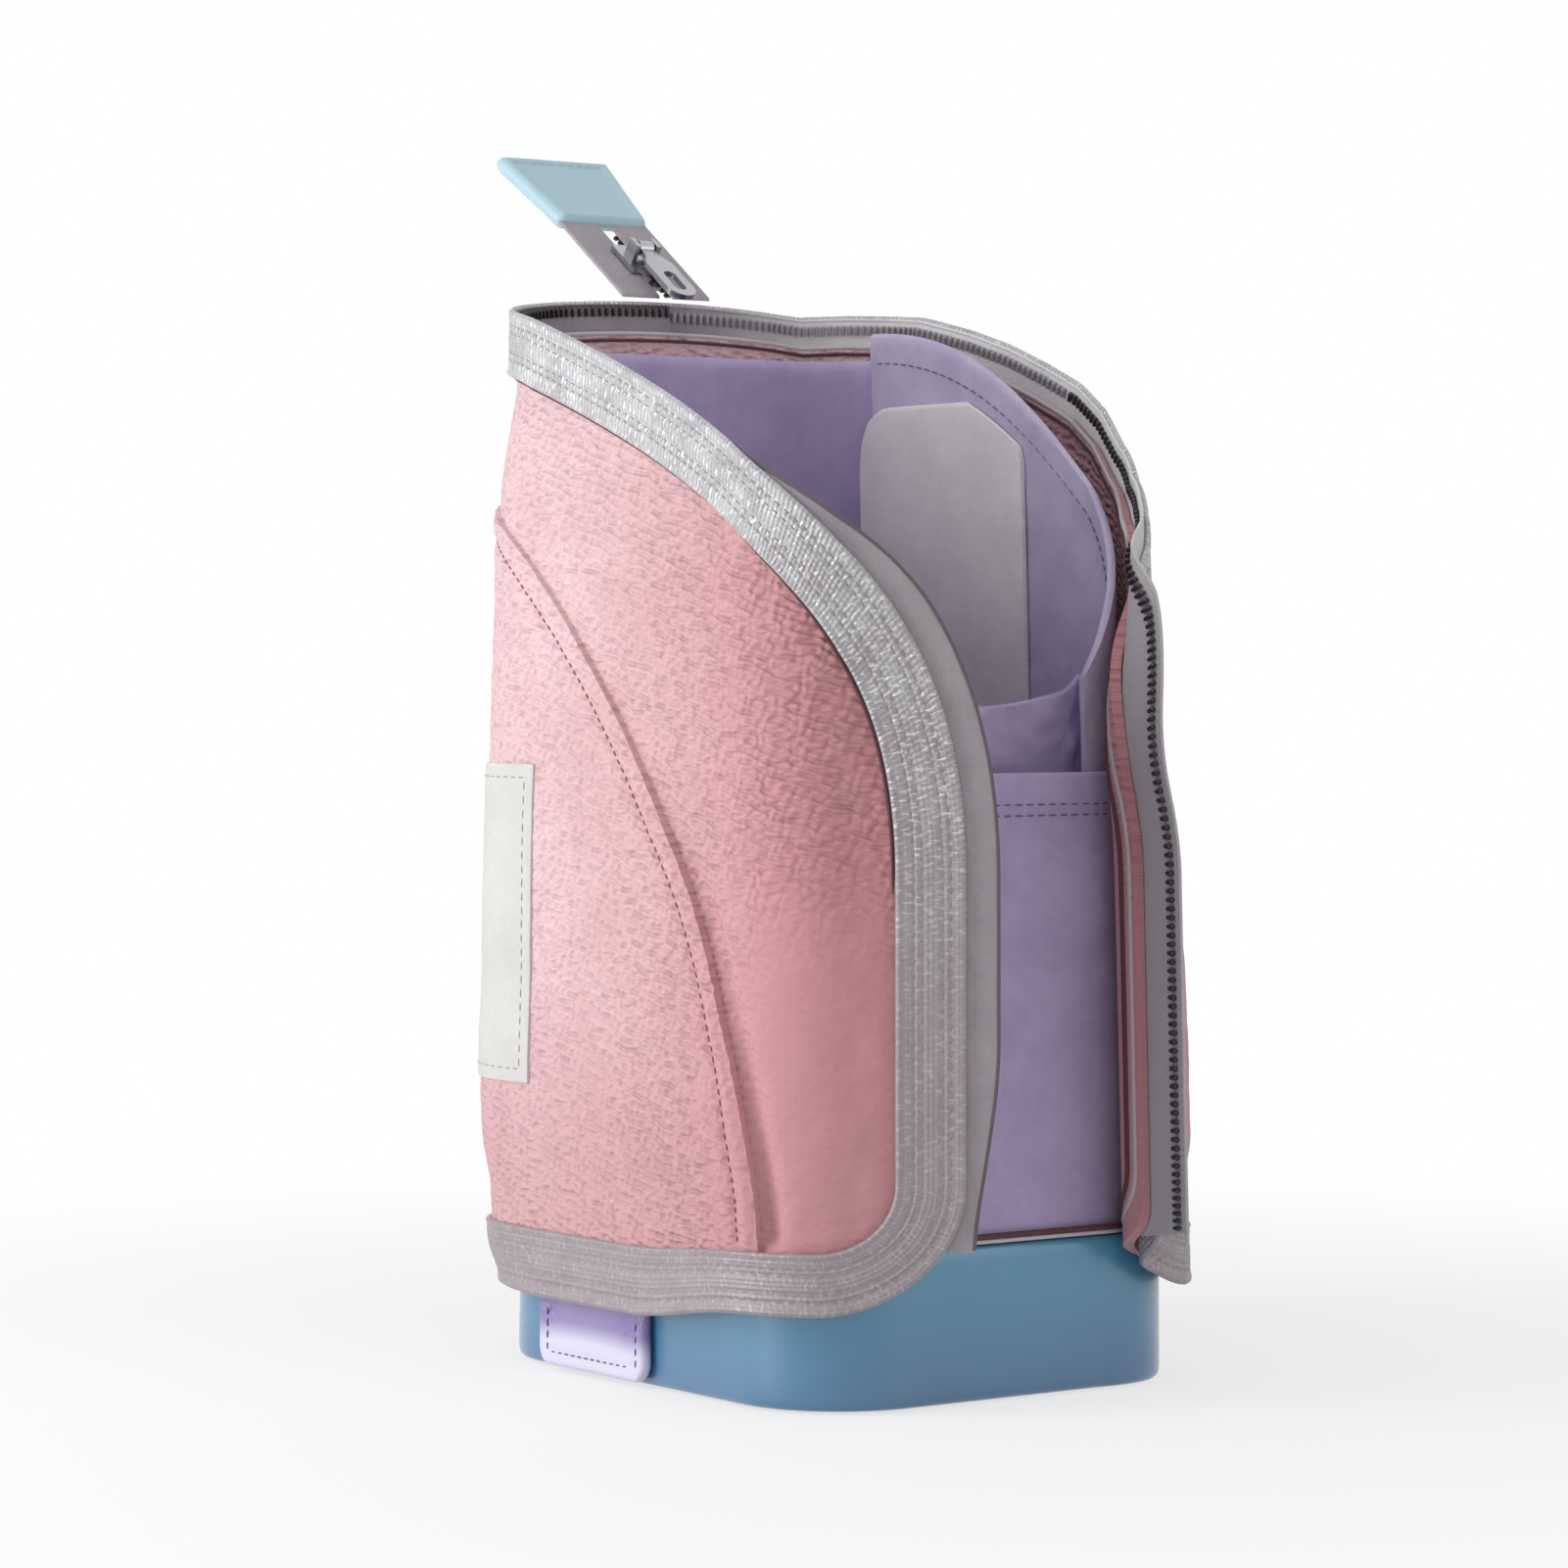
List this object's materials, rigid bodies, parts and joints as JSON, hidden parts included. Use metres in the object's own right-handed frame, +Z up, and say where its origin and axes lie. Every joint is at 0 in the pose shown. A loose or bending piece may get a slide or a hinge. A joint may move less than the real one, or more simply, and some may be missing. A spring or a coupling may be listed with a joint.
{
  "type": "stand-up pencil pouch",
  "caption": "Fabric pencil pouch that stands on its own base, with two side flaps opened by a zip that runs over the rim, inner pockets, a label patch and a pull tab.",
  "frame": {"origin": "centre of the flat underside", "axes": "+Z up; +X from the spine towards the end that opens; -Y is the side with the pull tab"},
  "size_m": [0.1768, 0.1012, 0.2375],
  "materials": {
    "pink_fabric": "crinkled matte",
    "pink_plain": "crinkled matte",
    "shell_lining": "matte",
    "lavender_fabric": "matte",
    "purple_fabric": "matte",
    "webbing": "woven",
    "zip_tape": "woven",
    "zip_coil": "satin",
    "blue_coated": "semi-gloss coated",
    "light_blue_coated": "semi-gloss coated",
    "tab_coated": "semi-gloss coated",
    "grey_fabric": "matte",
    "label_fabric": "woven",
    "zip_metal": "satin",
    "board": "matte"
  },
  "bodies": {
    "pouch_body": {"base_band": "blue_coated", "base_bottom": "blue_coated", "base_board": "board", "floor_lining": "purple_fabric", "core_spine_wall": "purple_fabric", "core_front_wall": "lavender_fabric", "core_back_wall": "lavender_fabric", "core_end_wall": "purple_fabric", "end_pocket": "purple_fabric", "slip_pocket": "grey_fabric", "spine_lining": "shell_lining", "spine_panel": "pink_fabric", "spine_overlay": "pink_plain", "spine_binding_top": "webbing", "spine_binding_foot": "webbing", "spine_tape": "zip_tape", "spine_coil": "zip_coil", "label_patch": "label_fabric", "pull_tab_root": "tab_coated"},
    "front_flap": {"front_lining": "shell_lining", "front_panel": "pink_fabric", "front_overlay": "pink_plain", "front_binding_top": "webbing", "front_binding_foot": "webbing", "front_tape": "zip_tape", "front_coil": "zip_coil"},
    "front_wing": {"front_wing_lining": "shell_lining", "front_wing_panel": "pink_fabric", "front_wing_binding": "webbing", "front_wing_tape": "zip_tape", "front_wing_coil": "zip_coil"},
    "back_flap": {"back_lining": "shell_lining", "back_panel": "pink_fabric", "back_overlay": "pink_plain", "back_binding_top": "webbing", "back_binding_foot": "webbing", "back_tape": "zip_tape", "back_coil": "zip_coil"},
    "back_wing": {"back_wing_lining": "shell_lining", "back_wing_panel": "pink_fabric", "back_wing_binding": "webbing", "back_wing_tape": "zip_tape", "back_wing_coil": "zip_coil"},
    "zip_end": {"zip_end_tape_front": "zip_tape", "zip_end_tape_back": "zip_tape", "zip_end_coil_front": "zip_coil", "zip_end_coil_back": "zip_coil", "end_tab": "light_blue_coated"},
    "slider": {"zip_slider": "zip_metal"},
    "puller": {"zip_puller": "zip_metal"},
    "pull_tab": {"pull_tab": "tab_coated"}
  },
  "joints": [
    {"name": "front_flap_hinge", "type": "hinge", "parent": "pouch_body", "child": "front_flap", "pos_m": [-0.0255, -0.0513, 0], "axis": [0, -0.0268, -0.9996], "range_deg": [0, 95]},
    {"name": "front_wing_fold", "type": "hinge", "parent": "front_flap", "child": "front_wing", "pos_m": [0.0567, -0.03922, 0], "axis": [0.0217, -0.0158, -0.9996], "range_deg": [-18, 75]},
    {"name": "back_flap_hinge", "type": "hinge", "parent": "pouch_body", "child": "back_flap", "pos_m": [-0.0255, 0.0513, 0], "axis": [0, -0.0268, 0.9996], "range_deg": [0, 95]},
    {"name": "back_wing_fold", "type": "hinge", "parent": "back_flap", "child": "back_wing", "pos_m": [0.06186, 0.02709, 0], "axis": [-0.0264, -0.0047, 0.9996], "range_deg": [-74, 25]},
    {"name": "zip_end_bend", "type": "hinge", "parent": "pouch_body", "child": "zip_end", "pos_m": [-0.0554, 0, 0.2058], "axis": [0, 1, 0], "range_deg": [-30, 50]},
    {"name": "slider_slide", "type": "slide", "parent": "zip_end", "child": "slider", "axis": [-0.8192, 0, 0.5736], "range_m": [-0.004, 0.0095]},
    {"name": "puller_swing", "type": "hinge", "parent": "slider", "child": "puller", "pos_m": [-0.06381, 0, 0.21645], "axis": [0, -1, 0], "range_deg": [-7, 170]},
    {"name": "pull_tab_lift", "type": "hinge", "parent": "pouch_body", "child": "pull_tab", "pos_m": [-0.012, -0.0466, 0.0136], "axis": [-1, 0, 0], "range_deg": [0, 80]}
  ]
}
